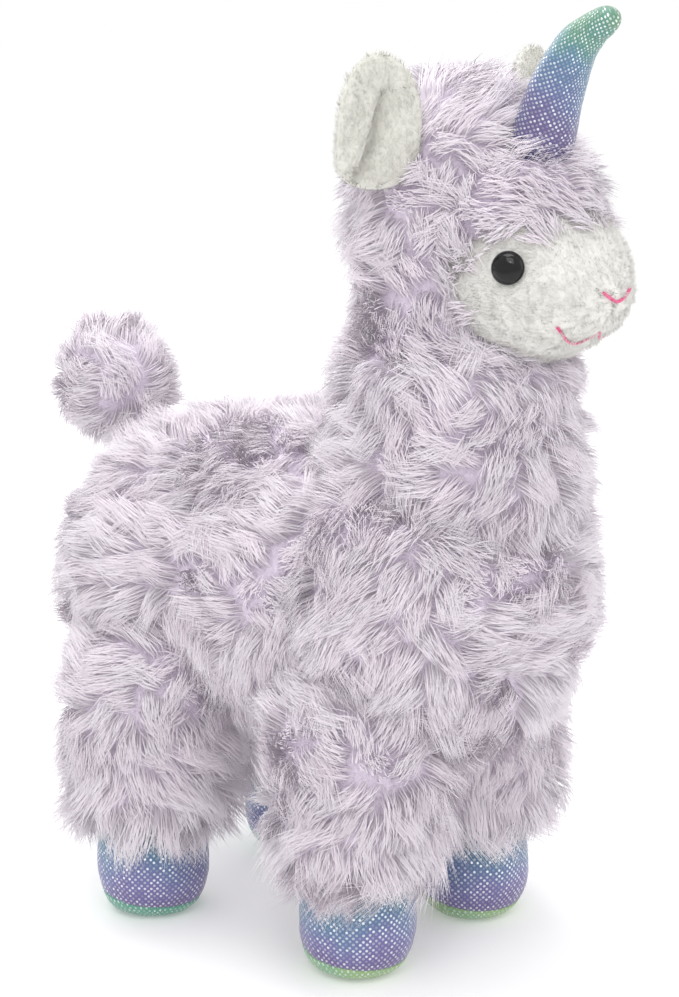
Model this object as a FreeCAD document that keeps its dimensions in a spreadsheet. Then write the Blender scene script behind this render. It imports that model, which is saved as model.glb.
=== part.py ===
import FreeCAD, Part
import math
import os
import Sketcher

# Stuffed unicorn standing on four hooves: shaggy fur body, white face and ears,
# soft horn and hooves in a dotted stretch cloth, round tail.
# Millimetres. The toy faces -Y, its left side is +X, +Z is up, the soles stand on Z = 0.

doc = FreeCAD.newDocument("stuffed_unicorn")

# ---------------------------------------------------------------- sizes
SIZES = {
    # cloth and fits
    "fur_cloth": 3.0,            # thickness of the fur cloth with its dense underfur
    "smooth_cloth": 1.2,         # short-pile plush and dotted stretch cloth
    "ease": 0.3,                 # gap between a skin and what fills it
    "joint_ease": 0.5,           # gap around a part that bends against its neighbour
    # body
    "body_half_width": 50.0, "body_half_length": 80.0, "body_half_height": 53.0,
    "body_y": 4.4, "body_z": 120.0,
    "chest_y": -53.6, "chest_z": 122.0, "chest_half_width": 54.0, "chest_half_length": 42.0, "chest_half_height": 56.0,
    "rump_y": 46.4, "rump_z": 116.0, "rump_half_width": 54.6, "rump_half_length": 45.0, "rump_half_height": 50.0,
    "gusset_half_width": 18.0, "gusset_length": 30.0,
    # neck
    "neck_y": -57.6, "neck_z": 165.0, "neck_ball": 37.0, "neck_shoulder": 12.6,
    "neck_waist": 34.6, "neck_top": 33.0, "neck_top_z": 200.0,
    # head
    "crown_y": -55.6, "crown_z": 244.0, "crown_half_width": 34.0,
    "crown_half_length": 32.0, "crown_half_height": 42.0,
    "brow_y": -75.6, "brow_z": 240.0, "brow_half_width": 29.0,
    "brow_half_length": 30.0, "brow_half_height": 30.0,
    "throat_top": 29.0, "throat_rise": 34.0,
    # face
    "face_y": -85.6, "face_z": 227.0, "face_half_width": 28.5,
    "face_half_length": 28.5, "face_half_height": 26.0, "face_cloth": 1.8,
    # eyes
    "eye_radius": 5.0, "eye_height": 3.4, "eye_shank": 1.6, "eye_shank_length": 8.0,
    "eye_y": -95.6, "eye_z": 232.0, "washer_radius": 6.5, "washer_thickness": 1.5,
    # stitching
    "thread": 0.5,
    "nose_half_width": 8.0, "nose_z": 220.0, "nose_rise": 3.6,
    "mouth_half_width": 16.0, "mouth_z": 208.0, "mouth_rise": 4.6,
    # ears
    "ear_x": 37.4, "ear_y": -56.4, "ear_root_z": 255.0, "ear_half_length": 19.5,
    "ear_half_width": 13.0, "ear_half_thickness": 4.4, "ear_root": 2.4,
    "ear_turn": 42.0, "ear_spread": 6.0,
    # horn
    "horn_y": -84.6, "horn_z": 268.0, "horn_root": 9.8, "horn_length": 43.0,
    "horn_tip": 2.4, "horn_room": 1.2, "horn_tilt": 30.0, "horn_bend": 22.0,
    # tail
    "tail_y": 94.45, "tail_z": 174.0, "tail_radius": 20.0, "tail_root": 10.0,
    "tail_root_y": 78.0, "tail_root_z": 152.0,
    # legs
    "front_leg_x": 31.0, "front_leg_y": -43.2, "rear_leg_x": 37.6, "rear_leg_y": 42.8,
    "hip_z": 80.0, "leg_radius": 28.0, "hem_radius": 24.0, "hem_z": 33.0,
    "leg_swing": 8.0,
    # hooves
    "hoof_radius": 19.2, "hoof_belly_z": 15.0, "hoof_seam_radius": 16.6, "hoof_seam_z": 4.6,
    "hoof_neck_radius": 17.6, "hoof_top_radius": 17.0, "hoof_top_z": 42.0,
    "sole_flat_radius": 12.6, "sole_thickness": 2.3,
}

sheet = doc.addObject("Spreadsheet::Sheet", "sizes")
for row, (name, value) in enumerate(SIZES.items(), start=1):
    sheet.set("A%d" % row, name)
    sheet.set("B%d" % row, str(value))
    sheet.setAlias("B%d" % row, name)
doc.recompute()


def size(name):
    """A size read back from the sheet, for the few shapes worked out in code."""
    return float(sheet.get(name))


def formula(text):
    """Turns a formula in plain size names into one that reads the sheet."""
    out, word = "", ""
    for letter in text + " ":
        if letter.isalnum() or letter == "_":
            word += letter
        else:
            out += "sizes." + word if word in SIZES else word
            word = ""
            out += letter
    return out.strip()


def bind(thing, settings):
    for name, text in settings.items():
        thing.setExpression(name, formula(text))


ruler = doc.addObject("App::FeaturePython", "ruler")
ruler.addProperty("App::PropertyFloat", "Reading")


def number(text):
    """What a formula comes to with the sheet's present sizes."""
    ruler.setExpression("Reading", formula(text))
    ruler.recompute()
    return ruler.Reading


# ---------------------------------------------------------------- building blocks
def ellipsoid(name, centre, half, less="0"):
    """An egg with half sizes along X, Y and Z, each made smaller by 'less'. Its poles lie
    on the Y axis, where no opening is cut."""
    egg = doc.addObject("Part::Ellipsoid", name)
    bind(egg, {
        "Radius2": "%s - (%s)" % (half[0], less),
        "Radius3": "%s - (%s)" % (half[2], less),
        "Radius1": "%s - (%s)" % (half[1], less),
        "Placement.Base.x": centre[0], "Placement.Base.y": centre[1], "Placement.Base.z": centre[2]})
    egg.Placement.Rotation = FreeCAD.Rotation(FreeCAD.Vector(1, 0, 0), 90)
    return egg


def ball(name, centre, radius):
    thing = doc.addObject("Part::Sphere", name)
    bind(thing, {"Radius": radius, "Placement.Base.x": centre[0],
                 "Placement.Base.y": centre[1], "Placement.Base.z": centre[2]})
    return thing


def cone(name, foot, low, high, height):
    thing = doc.addObject("Part::Cone", name)
    bind(thing, {"Radius1": low, "Radius2": high, "Height": height, "Placement.Base.x": foot[0],
                 "Placement.Base.y": foot[1], "Placement.Base.z": foot[2]})
    return thing


def block(name, corner, sides):
    thing = doc.addObject("Part::Box", name)
    bind(thing, {"Length": sides[0], "Width": sides[1], "Height": sides[2],
                 "Placement.Base.x": corner[0], "Placement.Base.y": corner[1],
                 "Placement.Base.z": corner[2]})
    return thing


def joined(name, things):
    thing = doc.addObject("Part::MultiFuse", name)
    thing.Shapes = things
    return thing


def cut(name, base, tools):
    """Base with every tool taken away in turn."""
    for number, tool in enumerate(tools):
        last = number == len(tools) - 1
        step = doc.addObject("Part::Cut", name if last else "%s_cut%d" % (name, number))
        step.Base, step.Tool = base, tool
        base = step
    return base


def shared(name, things):
    thing = doc.addObject("Part::MultiCommon", name)
    thing.Shapes = things
    return thing


def twin(name, thing):
    """The same piece on the toy's other side."""
    other = doc.addObject("Part::Mirroring", name)
    other.Source, other.Base, other.Normal = thing, FreeCAD.Vector(0, 0, 0), FreeCAD.Vector(1, 0, 0)
    return other


def lathe(name, points):
    """A turned piece. Points go round the profile as (radius, height) formulas; a third
    entry "via" marks a point that the curve from the last point to the next passes."""
    body = doc.addObject("PartDesign::Body", name)
    sketch = body.newObject("Sketcher::SketchObject", name + "_profile")
    plane = [f for f in body.Origin.OriginFeatures if f.Role == "XZ_Plane"][0]
    sketch.AttachmentSupport = [(plane, "")]
    sketch.MapMode = "FlatFace"

    where = [FreeCAD.Vector(number(p[0]), number(p[1]), 0) for p in points]
    corners = [i for i, p in enumerate(points) if len(p) == 2]
    edges = []
    for this, after in zip(corners, corners[1:] + corners[:1]):
        between = (this + 1) % len(points)
        if between != after:
            arc = Part.Arc(where[this], where[between], where[after])
            edge = sketch.addGeometry(arc, False)
            mid = sketch.addGeometry(Part.Point(where[between]), True)
            turned = (where[between] - where[this]).cross(where[after] - where[between]).z < 0
            start, end = (2, 1) if turned else (1, 2)
            edges.append((edge, start, end, this, mid, between))
        else:
            edge = sketch.addGeometry(Part.LineSegment(where[this], where[after]), False)
            edges.append((edge, 1, 2, this, None, None))

    def pin(geometry, spot, point):
        for axis, kind in ((0, "DistanceX"), (1, "DistanceY")):
            text = points[point][axis]
            value = where[point][axis]
            made = sketch.addConstraint(Sketcher.Constraint(kind, -1, 1, geometry, spot, value))
            label = "%s_%d" % ("across" if axis == 0 else "up", point)
            sketch.renameConstraint(made, label)
            sketch.setExpression("Constraints." + label, formula(text))

    for index, (edge, start, end, corner, mid, between) in enumerate(edges):
        pin(edge, start, corner)
        if mid is not None:
            pin(mid, 1, between)
            sketch.addConstraint(Sketcher.Constraint("PointOnObject", mid, 1, edge))
    for (edge, start, end, *rest), (after, first, *more) in zip(edges, edges[1:] + edges[:1]):
        sketch.addConstraint(Sketcher.Constraint("Coincident", edge, end, after, first))
    turn = body.newObject("PartDesign::Revolution", name + "_turned")
    turn.Profile = sketch
    turn.ReferenceAxis = (sketch, ["V_Axis"])
    turn.Angle = 360.0
    body.Tip = turn
    return body


def place(thing, x="0", y="0", z="0"):
    bind(thing, {"Placement.Base.x": x, "Placement.Base.y": y, "Placement.Base.z": z})
    return thing


pieces = []


def keep(thing, label):
    """Marks a finished piece of the toy."""
    thing.Label = label
    pieces.append(thing)
    return thing


def keep_pair(thing, label):
    """Keeps a left piece and its mirrored twin on the right."""
    keep(thing, label + "_left")
    keep(twin(label + "_right", thing), label + "_right")


SIDES = ("left", "right")
left_half = block("left_half", ("0", "-200", "-50"), ("400", "400", "400"))
LEGS = {
    "front_left": ("front_leg_x", "front_leg_y"),
    "front_right": ("-front_leg_x", "front_leg_y"),
    "rear_left": ("rear_leg_x", "rear_leg_y"),
    "rear_right": ("-rear_leg_x", "rear_leg_y"),
}


# ---------------------------------------------------------------- body
def body_solid(name, less):
    """Body, chest and rump eggs in one, smaller all round by 'less'."""
    trunk = ellipsoid(name + "_trunk", ("0", "body_y", "body_z"),
                      ("body_half_width", "body_half_length", "body_half_height"), less)
    chest = ellipsoid(name + "_chest", ("0", "chest_y", "chest_z"),
                      ("chest_half_width", "chest_half_length", "chest_half_height"), less)
    rump = ellipsoid(name + "_rump", ("0", "rump_y", "rump_z"),
                     ("rump_half_width", "rump_half_length", "rump_half_height"), less)
    return joined(name, [trunk, chest, rump])


def leg_room(name):
    """A ball-shaped socket whose mouth widens downwards, so the leg can swing in it."""
    top = "(leg_radius + joint_ease)"
    return lathe(name, [
        ("0", "hip_z - 20"),
        ("%s + 1 + 20 * tan(leg_swing)" % top, "hip_z - 20"),
        (top + " + 0.4", "hip_z"),
        (top, "hip_z + 0.6"),
        (top + " * 0.7071", "hip_z + %s * 0.7071" % top, "via"),
        ("0.5", "hip_z + " + top),
        ("0", "hip_z + " + top),
    ])


def body_openings(name):
    """Room for the neck, the tail root and the tops of the four legs to bend in."""
    tools = [
        ball(name + "_neck", ("0", "neck_y", "neck_z"), "neck_ball + joint_ease"),
        ball(name + "_tail", ("0", "tail_root_y", "tail_root_z"), "tail_root + joint_ease"),
    ]
    for leg, (x, y) in LEGS.items():
        tools.append(place(leg_room("%s_%s" % (name, leg)), x, y))
    tools.append(block(name + "_between", ("-8", "front_leg_y - leg_radius", "hip_z - 30"),
                       ("16", "2 * leg_radius", "40")))
    return tools


openings = body_openings("openings")
skin = cut("body_skin", body_solid("body_outside", "0"), [body_solid("body_inside", "fur_cloth")])
open_skin = cut("open_skin", skin, openings)
gusset_room = block("gusset_room",
                    ("-gusset_half_width", "-gusset_length / 2", "0"),
                    ("2 * gusset_half_width", "gusset_length", "body_z"))
keep(shared("belly_gusset", [open_skin, gusset_room]), "belly_gusset")
side_skin = cut("side_skin", open_skin, [gusset_room])
keep_pair(shared("body_fur_left", [side_skin, left_half]), "body_fur")
keep(cut("body_stuffing", body_solid("body_filling", "fur_cloth + ease"), openings), "body_stuffing")


# ---------------------------------------------------------------- neck
def neck_piece(name, less):
    """Ball-ended column, smaller by 'less' round its side and foot."""
    column = lathe(name, [
        ("0", "0 - neck_ball + " + less),
        ("0.5", "0 - neck_ball + " + less),
        ("(neck_ball - %s) * 0.7071" % less, "(neck_ball - %s) * (0 - 0.7071)" % less, "via"),
        ("neck_ball - " + less, "0"),
        ("neck_ball - %s - 0.55" % less, "neck_shoulder / 2", "via"),
        ("neck_waist - " + less, "neck_shoulder"),
        ("neck_top - " + less, "neck_top_z - neck_z"),
        ("0", "neck_top_z - neck_z"),
    ])
    return place(column, "0", "neck_y", "neck_z")


keep(cut("neck_fur", neck_piece("neck_outside", "0"), [neck_piece("neck_inside", "fur_cloth")]), "neck_fur")
keep(neck_piece("neck_stuffing", "(fur_cloth + ease)"), "neck_stuffing")


# ---------------------------------------------------------------- head
def head_solid(name, less):
    """Crown and brow eggs on a short throat, smaller all round by 'less'."""
    crown = ellipsoid(name + "_crown", ("0", "crown_y", "crown_z"),
                      ("crown_half_width", "crown_half_length", "crown_half_height"), less)
    brow = ellipsoid(name + "_brow", ("0", "brow_y", "brow_z"),
                     ("brow_half_width", "brow_half_length", "brow_half_height"), less)
    throat = cone(name + "_throat", ("0", "neck_y", "neck_top_z + joint_ease"),
                  "neck_top - (%s)" % less, "throat_top - (%s)" % less, "throat_rise")
    return joined(name, [crown, brow, throat])


def face_solid(name, less):
    return ellipsoid(name, ("0", "face_y", "face_z"),
                     ("face_half_width", "face_half_length", "face_half_height"), less)


def face_side(y, z, less=0.0):
    """The face's half width at a given place, 'less' below its surface."""
    along = (y - size("face_y")) / (size("face_half_length") - less)
    up = (z - size("face_z")) / (size("face_half_height") - less)
    return (size("face_half_width") - less) * math.sqrt(max(0.0, 1 - along ** 2 - up ** 2))


def face_front(x, z, out=0.0):
    """How far forward the face reaches at a given place, 'out' above its surface."""
    across = x / (size("face_half_width") + out)
    up = (z - size("face_z")) / (size("face_half_height") + out)
    depth = math.sqrt(max(0.0, 1 - across ** 2 - up ** 2))
    return size("face_y") - (size("face_half_length") + out) * depth


eye_y, eye_z = size("eye_y"), size("eye_z")
eye_x = face_side(eye_y, eye_z)
eye_out = FreeCAD.Vector(eye_x / size("face_half_width") ** 2,
                         (eye_y - size("face_y")) / size("face_half_length") ** 2,
                         (eye_z - size("face_z")) / size("face_half_height") ** 2).normalize()


def facing_out(thing, side, out=0.0):
    """Puts a turned piece on the face at an eye, its own +Z pointing outwards."""
    sign = 1 if side == "left" else -1
    out_way = FreeCAD.Vector(sign * eye_out.x, eye_out.y, eye_out.z)
    spot = FreeCAD.Vector(sign * eye_x, eye_y, eye_z) + out_way * out
    thing.Placement = FreeCAD.Placement(spot, FreeCAD.Rotation(FreeCAD.Vector(0, 0, 1), out_way))
    return thing


def eye_room(name, side, radius, low, high):
    """A round hole or pocket along an eye's shank, between two depths."""
    room = doc.addObject("Part::Cylinder", name)
    bind(room, {"Radius": radius, "Height": "%s - (%s)" % (high, low)})
    return facing_out(room, side, number(low))


eye_holes = joined("eye_holes", [eye_room("eye_hole_" + side, side, "eye_shank + ease", "-12", "4")
                                 for side in SIDES])
washer_rooms = joined("washer_rooms", [
    eye_room("washer_room_" + side, side, "washer_radius + ease",
             "0 - face_cloth - washer_thickness - 3", "1") for side in SIDES])
shank_rooms = joined("shank_rooms", [
    eye_room("shank_room_" + side, side, "eye_shank + ease",
             "0 - eye_shank_length - 2", "1") for side in SIDES])


def horn_way(name, radius):
    """The ball that the horn's foot turns in."""
    return ball(name, ("0", "horn_y", "horn_z"), radius)


head_skin = cut("head_skin", head_solid("head_outside", "0"), [
    head_solid("head_inside", "fur_cloth"),
    face_solid("face_gap", "0 - ease"),
    horn_way("horn_gap", "horn_root + horn_room")])
face_skin = cut("face_skin", face_solid("face_outside", "0"), [
    face_solid("face_inside", "face_cloth"),
    head_solid("head_gap", "fur_cloth - ease"),
    eye_holes])
keep_pair(shared("head_fur_left", [head_skin, left_half]), "head_fur")
keep_pair(shared("face_left", [face_skin, left_half]), "face")
filling = joined("head_filling", [head_solid("head_core", "fur_cloth + ease"),
                                  face_solid("face_core", "face_cloth + ease")])
keep(cut("head_stuffing", filling, [
    washer_rooms, shank_rooms, horn_way("horn_gap_again", "horn_root + horn_room")]), "head_stuffing")

button = lathe("eye_left", [
    ("0", "0 - eye_shank_length"),
    ("eye_shank", "0 - eye_shank_length"),
    ("eye_shank", "0"),
    ("eye_radius", "0"),
    ("eye_radius", "0.6"),
    ("0.72 * eye_radius", "0.76 * eye_height", "via"),
    ("0.2", "eye_height"),
    ("0", "eye_height"),
])
keep_pair(facing_out(button, "left", size("ease") + 0.2), "eye")
washer = lathe("eye_washer_left", [
    ("eye_shank + 0.05", "0"),
    ("washer_radius", "0"),
    ("washer_radius", "washer_thickness"),
    ("eye_shank + 0.05", "washer_thickness"),
])
keep_pair(facing_out(washer, "left", -size("face_cloth") - size("washer_thickness") - 1.6), "eye_washer")


# ---------------------------------------------------------------- stitching
def thread(name, places):
    """A thread lying on the face through places given as (x, z)."""
    radius = size("thread")
    line = Part.BSplineCurve()
    points = [FreeCAD.Vector(x, face_front(x, z, radius + 0.2), z) for x, z in places]
    line.interpolate(points)
    path = Part.Wire([line.toShape()])
    start, along = line.value(line.FirstParameter), line.tangent(line.FirstParameter)[0]
    ring = Part.Wire([Part.Circle(start, along, radius).toShape()])
    stitch = doc.addObject("Part::Feature", name)
    stitch.Shape = path.makePipeShell([ring], True, True)
    return stitch


def mirrored(half):
    """Places on one side, then their twins back out on the other side."""
    return half + [(-x, z) for x, z in reversed(half) if x]


nose_z, rise = size("nose_z"), size("nose_rise")
half = size("nose_half_width")
keep(thread("nose_stitching", mirrored([
    (-half, nose_z + rise), (-0.5 * half, nose_z + 0.45 * rise), (0, nose_z)])), "nose_stitching")
mouth_z, rise = size("mouth_z"), size("mouth_rise")
half = size("mouth_half_width")
keep(thread("mouth_stitching", mirrored([
    (-half, mouth_z + rise), (-0.81 * half, mouth_z + 0.33 * rise), (-0.44 * half, mouth_z),
    (-0.16 * half, mouth_z + 0.45 * rise), (0, mouth_z + rise)])), "mouth_stitching")


# ---------------------------------------------------------------- ears
def in_ear(thing, out, up, aside=0.0):
    """Puts a piece in the left ear's own frame: +X out of its hollow side, +Z up the ear."""
    turn = FreeCAD.Rotation(FreeCAD.Vector(0, 0, 1), -size("ear_turn"))
    lean = FreeCAD.Rotation(FreeCAD.Vector(0, 1, 0), size("ear_spread"))
    root = FreeCAD.Vector(size("ear_x"), size("ear_y"), size("ear_root_z"))
    spot = FreeCAD.Placement(FreeCAD.Vector(out, aside, up), FreeCAD.Rotation())
    thing.Placement = FreeCAD.Placement(root, lean.multiply(turn)).multiply(spot)
    return thing


def ear_egg(name, share="1", out=0.0, up=0.0):
    egg = doc.addObject("Part::Ellipsoid", name)
    bind(egg, {"Radius2": "ear_half_thickness", "Radius3": "ear_half_width * " + share,
               "Radius1": "ear_half_length * " + share})
    return in_ear(egg, out, size("ear_half_length") - 1.5 + up)


def ear_room(name, out):
    """The half of space on one side of the ear's seam."""
    room = doc.addObject("Part::Box", name)
    room.Length, room.Width, room.Height = 40, 80, 120
    return in_ear(room, out, -40, -40)


scoop = ear_egg("ear_scoop", "0.7", size("ear_half_thickness") * 1.2, 1.0)
hollowed = cut("ear_hollowed", ear_egg("ear_front_egg"), [scoop])
keep_pair(shared("ear_front_left", [hollowed, ear_room("ear_front_room", 0)]), "ear_front")
keep_pair(shared("ear_back_left", [ear_egg("ear_back_egg"), ear_room("ear_back_room", -40)]), "ear_back")


# ---------------------------------------------------------------- horn
def horn_solid(name, less):
    """A tapering horn that leans forward and bends a little more towards its tip."""
    steps = 5
    rings, spot = [], FreeCAD.Vector(0, size("horn_y"), size("horn_z"))
    start, lean = size("horn_length") / steps, size("horn_tilt")
    for step in range(steps + 1):
        part = step / steps
        angle = math.radians(lean + size("horn_bend") * (part - 0.4))
        way = FreeCAD.Vector(0, -math.sin(angle), math.cos(angle))
        radius = size("horn_root") + (size("horn_tip") - size("horn_root")) * part ** 1.15 - less
        ring = doc.addObject("Part::Circle", "%s_ring%d" % (name, step))
        ring.Radius = radius
        ring.Placement = FreeCAD.Placement(spot, FreeCAD.Rotation(FreeCAD.Vector(0, 0, 1), way))
        rings.append(ring)
        spot = spot + way * start
    loft = doc.addObject("Part::Loft", name + "_loft")
    loft.Sections, loft.Solid, loft.Ruled = rings, True, False
    foot = doc.addObject("Part::Sphere", name + "_foot")
    bind(foot, {"Radius": "horn_root - %s" % less, "Placement.Base.y": "horn_y",
                "Placement.Base.z": "horn_z"})
    tip = doc.addObject("Part::Sphere", name + "_tip")
    tip.Radius = rings[-1].Radius
    tip.Placement.Base = rings[-1].Placement.Base
    return joined(name, [loft, foot, tip])


cover = size("smooth_cloth")
keep(cut("horn_cover", horn_solid("horn_outside", 0.0), [horn_solid("horn_inside", cover)]), "horn_cover")
keep(horn_solid("horn_stuffing", cover + size("ease")), "horn_stuffing")


# ---------------------------------------------------------------- tail
def tail_solid(name, less):
    """A round pompom on a short root that ends in a small ball."""
    pompom = ball(name + "_pompom", ("0", "tail_y", "tail_z"), "tail_radius - (%s)" % less)
    root = ball(name + "_root", ("0", "tail_root_y", "tail_root_z"), "tail_root - (%s)" % less)
    neck = doc.addObject("Part::Cylinder", name + "_neck")
    bind(neck, {"Radius": "tail_root - (%s)" % less,
                "Height": "sqrt((tail_y - tail_root_y)^2 + (tail_z - tail_root_z)^2)"})
    low = FreeCAD.Vector(0, size("tail_root_y"), size("tail_root_z"))
    high = FreeCAD.Vector(0, size("tail_y"), size("tail_z"))
    neck.Placement = FreeCAD.Placement(low, FreeCAD.Rotation(FreeCAD.Vector(0, 0, 1), high - low))
    return joined(name, [pompom, root, neck])


keep(cut("tail_fur", tail_solid("tail_outside", "0"), [tail_solid("tail_inside", "fur_cloth")]), "tail_fur")
keep(tail_solid("tail_stuffing", "fur_cloth + ease"), "tail_stuffing")


# ---------------------------------------------------------------- legs and hooves
def leg_skin(name):
    return lathe(name, [
        ("hoof_neck_radius + ease", "hem_z"),
        ("hem_radius", "hem_z"),
        ("(hem_radius + leg_radius) / 2 + 1", "(hem_z + hip_z) / 2 - 6", "via"),
        ("leg_radius", "hip_z - 8"),
        ("leg_radius", "hip_z"),
        ("leg_radius * 0.7071", "hip_z + leg_radius * 0.7071", "via"),
        ("0.5", "hip_z + leg_radius"),
        ("0", "hip_z + leg_radius"),
        ("0", "hip_z + leg_radius - fur_cloth"),
        ("0.5", "hip_z + leg_radius - fur_cloth"),
        ("(leg_radius - fur_cloth) * 0.7071", "hip_z + (leg_radius - fur_cloth) * 0.7071", "via"),
        ("leg_radius - fur_cloth", "hip_z"),
        ("leg_radius - fur_cloth", "hip_z - 8"),
        ("hem_radius - fur_cloth", "hoof_top_z + 3"),
        ("hoof_neck_radius + ease", "hoof_top_z + 1"),
    ])


def leg_filling(name):
    less = "(fur_cloth + ease)"
    return lathe(name, [
        ("0", "hoof_top_z + ease"),
        ("hoof_neck_radius", "hoof_top_z + ease"),
        ("hoof_neck_radius", "hoof_top_z + 1 + ease"),
        ("hem_radius - " + less, "hoof_top_z + 3 + ease"),
        ("leg_radius - " + less, "hip_z - 8"),
        ("leg_radius - " + less, "hip_z"),
        ("(leg_radius - %s) * 0.7071" % less, "hip_z + (leg_radius - %s) * 0.7071" % less, "via"),
        ("0.5", "hip_z + leg_radius - " + less),
        ("0", "hip_z + leg_radius - " + less),
    ])


def hoof_side(less):
    """The hoof's bulging side from its seam up to its top, as profile points."""
    return [
        ("hoof_seam_radius - " + less, "hoof_seam_z"),
        ("hoof_radius - " + less, "hoof_belly_z", "via"),
        ("hoof_neck_radius - " + less, "hem_z"),
        ("hoof_top_radius - " + less, "hoof_top_z"),
    ]


def hoof_cover(name):
    inside = hoof_side("smooth_cloth")
    return lathe(name, hoof_side("0") + [inside[3], inside[2], inside[1], inside[0]])


def hoof_filling(name):
    less = "(smooth_cloth + ease)"
    return lathe(name, [("0", "sole_thickness + ease"),
                        ("hoof_seam_radius - 2.6", "sole_thickness + ease")] + hoof_side(less)
                 + [("0", "hoof_top_z")])


def hoof_sole(name):
    """A shallow dish: flat underneath, its rim curling up to the seam."""
    rim = "hoof_seam_z - 0.2"
    return lathe(name, [
        ("0", "0"),
        ("sole_flat_radius", "0"),
        ("(sole_flat_radius + hoof_seam_radius) / 2 + 0.8", "1.3", "via"),
        ("hoof_seam_radius", rim),
        ("hoof_seam_radius - 1.2", rim),
        ("hoof_seam_radius - 2.2", "sole_thickness"),
        ("0", "sole_thickness"),
    ])


for leg, (x, y) in LEGS.items():
    for label, make in (("leg_fur_", leg_skin), ("leg_stuffing_", leg_filling),
                        ("hoof_cover_", hoof_cover), ("hoof_stuffing_", hoof_filling),
                        ("hoof_sole_", hoof_sole)):
        keep(place(make(label + leg), x, y), label + leg)


# ---------------------------------------------------------------- check and write
doc.recompute()
faults = [thing.Label for thing in doc.Objects if {"Invalid", "Error"} & set(thing.State)]
os.makedirs("parts", exist_ok=True)
for piece in pieces:
    shape = piece.Shape
    if shape.isNull() or not shape.isValid() or not shape.Solids:
        faults.append(piece.Label)
        continue
    print("%-24s %d solid  %9.1f mm3" % (piece.Label, len(shape.Solids), shape.Volume))
    shape.exportStep("parts/%s.step" % piece.Label)
print("%d pieces written" % len(pieces))
if faults:
    raise RuntimeError("unsound: " + ", ".join(faults))
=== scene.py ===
# %% [markdown]
# # A stuffed unicorn
# The toy is a shaggy lilac body on four short legs, with a long neck, a small white
# face, white ears, a soft horn and four round hooves in a dotted stretch cloth.
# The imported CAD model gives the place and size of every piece, so it is loaded first.
# Everything below is in metres: the toy faces -Y, its left side is +X, and +Z is up.

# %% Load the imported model
import math
import bmesh
import bpy
import numpy as np
from mathutils import Matrix, Vector, noise
from mathutils.bvhtree import BVHTree


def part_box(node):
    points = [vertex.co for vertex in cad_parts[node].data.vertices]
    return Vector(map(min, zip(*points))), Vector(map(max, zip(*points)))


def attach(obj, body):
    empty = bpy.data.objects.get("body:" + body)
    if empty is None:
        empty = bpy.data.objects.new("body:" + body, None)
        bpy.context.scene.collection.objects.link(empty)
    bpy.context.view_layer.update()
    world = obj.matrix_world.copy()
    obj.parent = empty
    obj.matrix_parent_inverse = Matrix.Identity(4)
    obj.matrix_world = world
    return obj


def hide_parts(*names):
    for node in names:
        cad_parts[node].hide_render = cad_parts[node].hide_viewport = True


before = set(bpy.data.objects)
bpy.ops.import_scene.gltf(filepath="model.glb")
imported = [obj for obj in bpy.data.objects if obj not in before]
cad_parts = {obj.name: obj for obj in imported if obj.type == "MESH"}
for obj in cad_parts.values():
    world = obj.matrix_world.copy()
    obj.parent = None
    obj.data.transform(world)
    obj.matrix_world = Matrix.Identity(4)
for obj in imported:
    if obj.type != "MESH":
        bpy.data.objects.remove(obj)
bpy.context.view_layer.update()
MM = 0.001

# %% [markdown]
# ## Camera, floor and light
# The toy stands turned a little away from us, so we see its right flank and its chest.
# A long lens from about 0.8 m keeps the legs nearly parallel, as in a catalogue view.
# The floor and the world are both nearly white. A large soft lamp stands high on the
# left and another overhead. A weaker one on the right fills the shadows, one lights the
# back, and a small one makes the glint in the eyes.

# %% Camera
scene = bpy.context.scene
scene.view_settings.view_transform = "Standard"
camera = bpy.data.objects.new("camera", bpy.data.cameras.new("camera"))
scene.collection.objects.link(camera)
scene.camera = camera
camera.location = Vector((-571.3, -489.5, 320.4)) * MM
camera_target = Vector((2.95, -7.07, 144.73)) * MM
camera.rotation_euler = (camera_target - camera.location).to_track_quat("-Z", "Y").to_euler()
camera.data.lens = 83.67
camera.data.sensor_width = 36.0
print("camera stands", round(camera.location.length, 2), "m away")

# %% Floor, lamps and world
def plain_material(name, colour, roughness=0.6):
    material = bpy.data.materials.new(name)
    material.use_nodes = True
    surface = material.node_tree.nodes["Principled BSDF"]
    surface.inputs["Base Color"].default_value = (*colour, 1)
    surface.inputs["Roughness"].default_value = roughness
    return material


def mesh_object(name, mesh, material=None):
    thing = bpy.data.objects.new(name, mesh)
    scene.collection.objects.link(thing)
    if material:
        mesh.materials.append(material)
    return thing


def object_from(bm, name, material=None, smooth=True):
    mesh = bpy.data.meshes.new(name)
    bm.to_mesh(mesh)
    bm.free()
    mesh.shade_smooth() if smooth else mesh.shade_flat()
    return mesh_object(name, mesh, material)


bm = bmesh.new()
bmesh.ops.create_grid(bm, x_segments=1, y_segments=1, size=6)
floor_paint = plain_material("pale_floor", (0.78, 0.78, 0.78), 0.9)
floor_paint.node_tree.nodes["Principled BSDF"].inputs["Emission Color"].default_value = (1, 1, 1, 1)
floor_paint.node_tree.nodes["Principled BSDF"].inputs["Emission Strength"].default_value = 0.22
floor = object_from(bm, "floor", floor_paint, smooth=False)


def soft_lamp(name, place, size, watts):
    lamp = bpy.data.objects.new(name, bpy.data.lights.new(name, "AREA"))
    scene.collection.objects.link(lamp)
    lamp.data.size = size
    lamp.data.energy = watts
    lamp.location = place
    lamp.rotation_euler = (Vector((0, 0, 0.14)) - lamp.location).to_track_quat("-Z", "Y").to_euler()
    return lamp


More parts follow.
